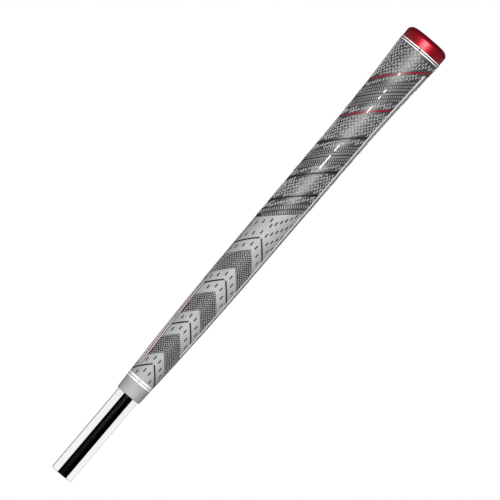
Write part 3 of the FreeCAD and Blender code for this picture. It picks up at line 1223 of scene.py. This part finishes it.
@dataclass
class Chevrons:
    """Lower half: grey sleeve with small slots, and studded patches that point to the cap."""

    finishes: Finishes
    surface: GripSurface
    inlays: InlaidSkin
    wrap: Wrap
    count: int = 3
    pitch: float = 31.7 * MM
    first_tip: float = 110.5 * MM
    patch_height: float = 14.2 * MM
    planes: TiltedPlanes = TiltedPlanes(-0.93, 0.36)
    side_gap: float = 1.2 * MM
    tip_gap: float = 0.35
    line_above_tip: float = 9.1 * MM
    stud: Stamp = Stamp(StampShape.STUD, 0.7 * MM, 0.7 * MM, 0.2 * MM, 0.15 * MM, 0.65)
    stud_pitch: float = 1.15 * MM
    slot: Stamp = Stamp(StampShape.SLOT, 0.82 * MM, 2.7 * MM, 0.3 * MM, 0.45 * MM, 1.0)
    slot_spacing: float = 3.5 * MM
    upper_rows: int = 8
    row_spacing: float = 4.4 * MM
    slot_reach: float = 0.6
    first_share: float = 0.01
    row_end: float = math.radians(84)

    def stud_spots(self, tip: float, behind: bool) -> list[Spot]:
        """Lay studs in rows parallel to the arms of one patch.

        Args:
            tip: height of the patch's tip.
            behind: whether the patch is on the back.

        Returns:
            The spots of its studs.
        """
        row_step = self.stud_pitch * math.hypot(1, self.planes.slope)
        rows = int(self.patch_height / row_step)
        margin = (self.patch_height - (rows - 1) * row_step) / 2
        spots = []
        for side in (-1, 1):
            for row in range(rows):
                away = self.stud_pitch * self.tip_gap / self.surface.radius(tip)
                while True:
                    height = self.planes.height(self.surface, tip - margin - row * row_step, away)
                    radius = self.surface.radius(height)
                    if radius * math.cos(away) < self.side_gap + self.stud.across / 2:
                        break
                    lean = side * self.planes.lean(away) * (-1 if behind else 1)
                    angle = side * (math.pi - away if behind else away)
                    if not self.inlays.covers(angle, height, self.stud.across / 2):
                        spots.append(Spot(angle, height, lean))
                    away += self.stud_pitch * math.cos(lean) / radius
        return spots

    def slot_spots(self) -> list[Spot]:
        """Rows of slots that follow the arms, beside every line and above the first one.

        Returns:
            The spots of all the slots.
        """
        half = self.line_above_tip / 2
        tips = []
        for index in range(self.count + 1):
            line = self.first_tip + self.line_above_tip - index * self.pitch
            tips += [line - half] + ([line + half] if index > 0 else [])
        first_line = self.first_tip + self.line_above_tip
        tips += [first_line + self.row_spacing * (number + 1) for number in range(self.upper_rows)]
        spots = []
        for number, tip in enumerate(tips):
            for side in (-1, 1):
                for behind in (False, True):
                    first = 0.5 if number <= 2 * self.count else number % 2 / 2
                    spots += self.slot_row(tip, side, behind, first)
        return spots

    def slot_row(self, tip: float, side: int, behind: bool, first: float) -> list[Spot]:
        """One row of slots on one arm.

        Args:
            tip: height of the row where it would cross the chevron's centre line.
            side: -1 or 1 for the arm.
            behind: whether it is on the back.
            first: place of the first slot, as a share of the spacing.

        Returns:
            The spots of the row's slots.
        """
        spots = []
        reach = self.slot.along * self.slot_reach
        away = max(first, self.first_share) * self.slot_spacing / self.surface.radius(tip)
        while away < self.row_end:
            height = self.planes.height(self.surface, tip, away)
            angle = side * (math.pi - away if behind else away)
            x, y, _ = self.surface.place(angle, height, 0)
            clear_above = self.wrap.end_planes.name_of(x, y, height) < self.wrap.end_height - reach
            clear = clear_above and height > self.lowest + reach
            if clear and not self.inlays.covers(angle, height, self.slot.across) and (first or side > 0):
                spots.append(Spot(angle, height))
            away += self.slot_spacing / self.surface.radius(height)
        return spots

    @property
    def lowest(self) -> float:
        """Height of the sleeve's lower edge above the mouth."""
        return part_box("lower_sleeve")[0][2] - self.surface.mouth

    def build(self) -> None:
        """Cut the slots and add the studded patches."""
        self.build_sleeve()
        for index in range(self.count):
            tip = self.first_tip - index * self.pitch
            for side, behind in (("front", False), ("back", True)):
                node = "chevron_%s_%d" % (side, index + 1)
                piece = copy_of_node(node, node + "_patch")
                smooth(piece)
                count = len(piece.data.polygons)
                studs = stamp_over(node + "_studs", self.surface, self.stud, self.stud_spots(tip, behind))
                smooth(studs)
                join(piece, studs, 1)
                surface_normals(piece, self.surface, count)
                finish_piece(piece, GRIP_BODY,
                             [self.finishes.patch_base, self.finishes.studs], [node])

    def build_sleeve(self) -> None:
        """Cut every slot out of a copy of the grey sleeve."""
        sleeve = copy_of_node("lower_sleeve", "grey_sleeve")
        cutters = stamp_over("slot_cutters", self.surface, self.slot, self.slot_spots())
        sleeve.data.materials.clear()
        sleeve.data.materials.append(self.finishes.grey)
        # the cut walls and floors take this dark material, painted shade in the slots
        cutters.data.materials.append(self.finishes.slot_floor)
        select_only(sleeve)
        cut = sleeve.modifiers.new("slots", "BOOLEAN")
        cut.operation = "DIFFERENCE"
        cut.solver = "EXACT"
        cut.object = cutters
        cut.material_mode = "TRANSFER"
        bpy.ops.object.modifier_apply(modifier=cut.name)
        bpy.data.objects.remove(cutters)
        smooth(sleeve)
        surface_normals(sleeve, self.surface)
        finish_piece(sleeve, GRIP_BODY, [self.finishes.grey, self.finishes.slot_floor],
                     ["lower_sleeve"])


# ---------------------------------------------------------------- studio


@dataclass
class Studio:
    """White studio: floor, surroundings, a soft box in front and one behind, and the camera."""

    camera_distance: float = 3.0
    camera_side: float = math.radians(2.5)
    camera_shift: float = -0.64 * MM
    view_width: float = 290.1 * MM
    aim_above_mouth: float = 110 * MM
    shaft_tilt: float = math.radians(49.69)
    floor_drop: float = 0.6
    soft_box_size: tuple[float, float] = (0.8, 0.75)
    soft_box_place: tuple[float, float, float] = (0.0, -1.7, 0.5)
    soft_box_power: float = 42.0
    fill_strength: float = 0.1
    panel_centre: float = math.radians(11.5)
    panel_front: tuple[float, float] = (math.radians(50), math.radians(56))
    panel_back: tuple[float, float] = (math.radians(138), math.radians(150))
    band_top: tuple[float, float] = (-0.0375, -0.015)
    band_foot: tuple[float, float] = (-0.16, -0.1)
    panel_strength: float = 1.1
    back_share: float = 0.25
    above_share: float = 0.05
    below_share: float = 0.35
    floor_radius: float = 12.0
    sensor_width: float = 36.0

    def build(self, mouth: float) -> None:
        """Set the whole studio up.

        Args:
            mouth: height of the grip's mouth in the row frame.
        """
        self.build_floor()
        self.build_world()
        self.build_soft_box(mouth, "soft_box", 1)
        self.build_soft_box(mouth, "back_soft_box", -1).visible_glossy = False
        self.build_camera(mouth)
        bpy.context.scene.view_settings.view_transform = "Standard"

    def build_floor(self) -> None:
        """A wide white floor that throws no light of its own on the grip."""
        bpy.ops.mesh.primitive_circle_add(vertices=64, radius=self.floor_radius, fill_type="NGON",
                                          location=(0, 0, -self.floor_drop))
        floor = bpy.context.object
        floor.name = "studio_floor"
        bpy.ops.object.transform_apply()
        material = bpy.data.materials.new("white paper, seamless")
        material.use_nodes = True
        tree = material.node_tree
        tree.nodes.clear()
        glow = add_node(tree, "Emission", {"Color": (1, 1, 1, 1), "Strength": 1.0})
        add_node(tree, "OutputMaterial", {"Surface": glow})
        floor.data.materials.append(material)
        floor.visible_diffuse = False
        floor.visible_glossy = False
        floor.visible_shadow = False

    def build_world(self) -> None:
        """White walls for the eye; in reflections, white panels low at the sides and dark elsewhere."""
        world = bpy.data.worlds.new("studio")
        world.use_nodes = True
        bpy.context.scene.world = world
        tree = world.node_tree
        tree.nodes.clear()
        ray = add_node(tree, "LightPath")
        way = add_node(tree, "SeparateXYZ", {0: add_node(tree, "TexCoord").outputs["Generated"]})
        back = add_node(tree, "Math", {0: way.outputs["Y"], 1: -1.0}, operation="MULTIPLY")
        angle = add_node(tree, "Math", {0: way.outputs["X"], 1: back}, operation="ARCTAN2")
        shifted = add_node(tree, "Math", {0: angle, 1: self.panel_centre}, operation="SUBTRACT")
        size = add_node(tree, "Math", {0: shifted}, operation="ABSOLUTE")
        around, up = size, way.outputs["Z"]
        lit: float | Node = self.panel_strength
        for value, (start, end), low, high in (
                (around, self.panel_front, 0.0, 1.0), (around, self.panel_back, 1.0, self.back_share),
                (up, self.band_top, 1.0, self.above_share), (up, self.band_foot, self.below_share, 1.0)):
            edge = add_node(tree, "MapRange", {
                "Value": value, "From Min": start, "From Max": end, "To Min": low, "To Max": high},
                interpolation_type="SMOOTHSTEP")
            lit = add_node(tree, "Math", {0: edge, 1: lit}, operation="MULTIPLY")
        diffuse = add_node(tree, "Mix", {
            "Factor": ray.outputs["Is Diffuse Ray"], "A": lit, "B": self.fill_strength})
        power = add_node(tree, "Mix", {
            "Factor": ray.outputs["Is Camera Ray"], "A": diffuse, "B": 1.0})
        shade = add_node(tree, "Background", {"Color": (1, 1, 1, 1), "Strength": power})
        add_node(tree, "OutputWorld", {"Surface": shade})

    def build_soft_box(self, mouth: float, name: str, side: float) -> Object:
        """One large soft box, higher than the camera, so that the shaft doesn't mirror it.

        Args:
            mouth: height of the grip's mouth in the row frame.
            name: the light's name.
            side: 1 in front of the grip, -1 behind it.

        Returns:
            The light's object.
        """
        light = bpy.data.lights.new(name, "AREA")
        light.shape = "RECTANGLE"
        light.size, light.size_y = self.soft_box_size
        light.energy = self.soft_box_power
        box = bpy.data.objects.new(name, light)
        bpy.context.collection.objects.link(box)
        across, away, height = self.soft_box_place
        place = Vector((across, away * side, height))
        target = Vector((0, 0, mouth + self.aim_above_mouth))
        turn = (place - target).to_track_quat("Z", "Y").to_matrix().to_4x4()
        box.matrix_world = Matrix.Translation(place) @ turn
        box.visible_camera = False
        return box

    def build_camera(self, mouth: float) -> None:
        """Camera square to the shaft, rolled so that the cap is at the upper right."""
        data = bpy.data.cameras.new("camera")
        data.sensor_width = self.sensor_width
        data.lens = self.sensor_width * self.camera_distance / self.view_width
        camera = bpy.data.objects.new("camera", data)
        bpy.context.collection.objects.link(camera)
        cosine, sine = math.cos(self.shaft_tilt), math.sin(self.shaft_tilt)
        across = Vector((math.cos(self.camera_side), math.sin(self.camera_side), 0))
        back = Vector((math.sin(self.camera_side), -math.cos(self.camera_side), 0))
        along = Vector((0, 0, 1))
        axes = (across * sine + along * cosine, along * sine - across * cosine, back)
        turn = Matrix(axes).transposed().to_4x4()
        aim = along * (mouth + self.aim_above_mouth) + across * self.camera_shift
        place = aim + back * self.camera_distance
        camera.matrix_world = Matrix.Translation(place) @ turn
        data.clip_start, data.clip_end = 0.05, 50.0
        bpy.context.scene.camera = camera


def main() -> None:
    """Build every sub-assembly in order, then the studio."""
    logging.basicConfig(level=logging.INFO, format="%(name)s: %(message)s")
    finishes = Finishes.build()
    inner = ("shaft_tube", "grip_tape", "end_cap", "core_sleeve")
    surface = GripSurface(tuple(node for node in frame["nodes"] if node not in inner))
    inlays = InlaidSkin(finishes, surface)
    wrap = Wrap(finishes, surface, inlays)
    ShaftEnd(finishes).build()
    ButtCap(finishes).build()
    Collar(finishes, surface).build()
    inlays.build()
    wrap.build()
    Chevrons(finishes, surface, inlays, wrap).build()
    Studio().build(surface.mouth)


if __name__ == "__main__":
    main()
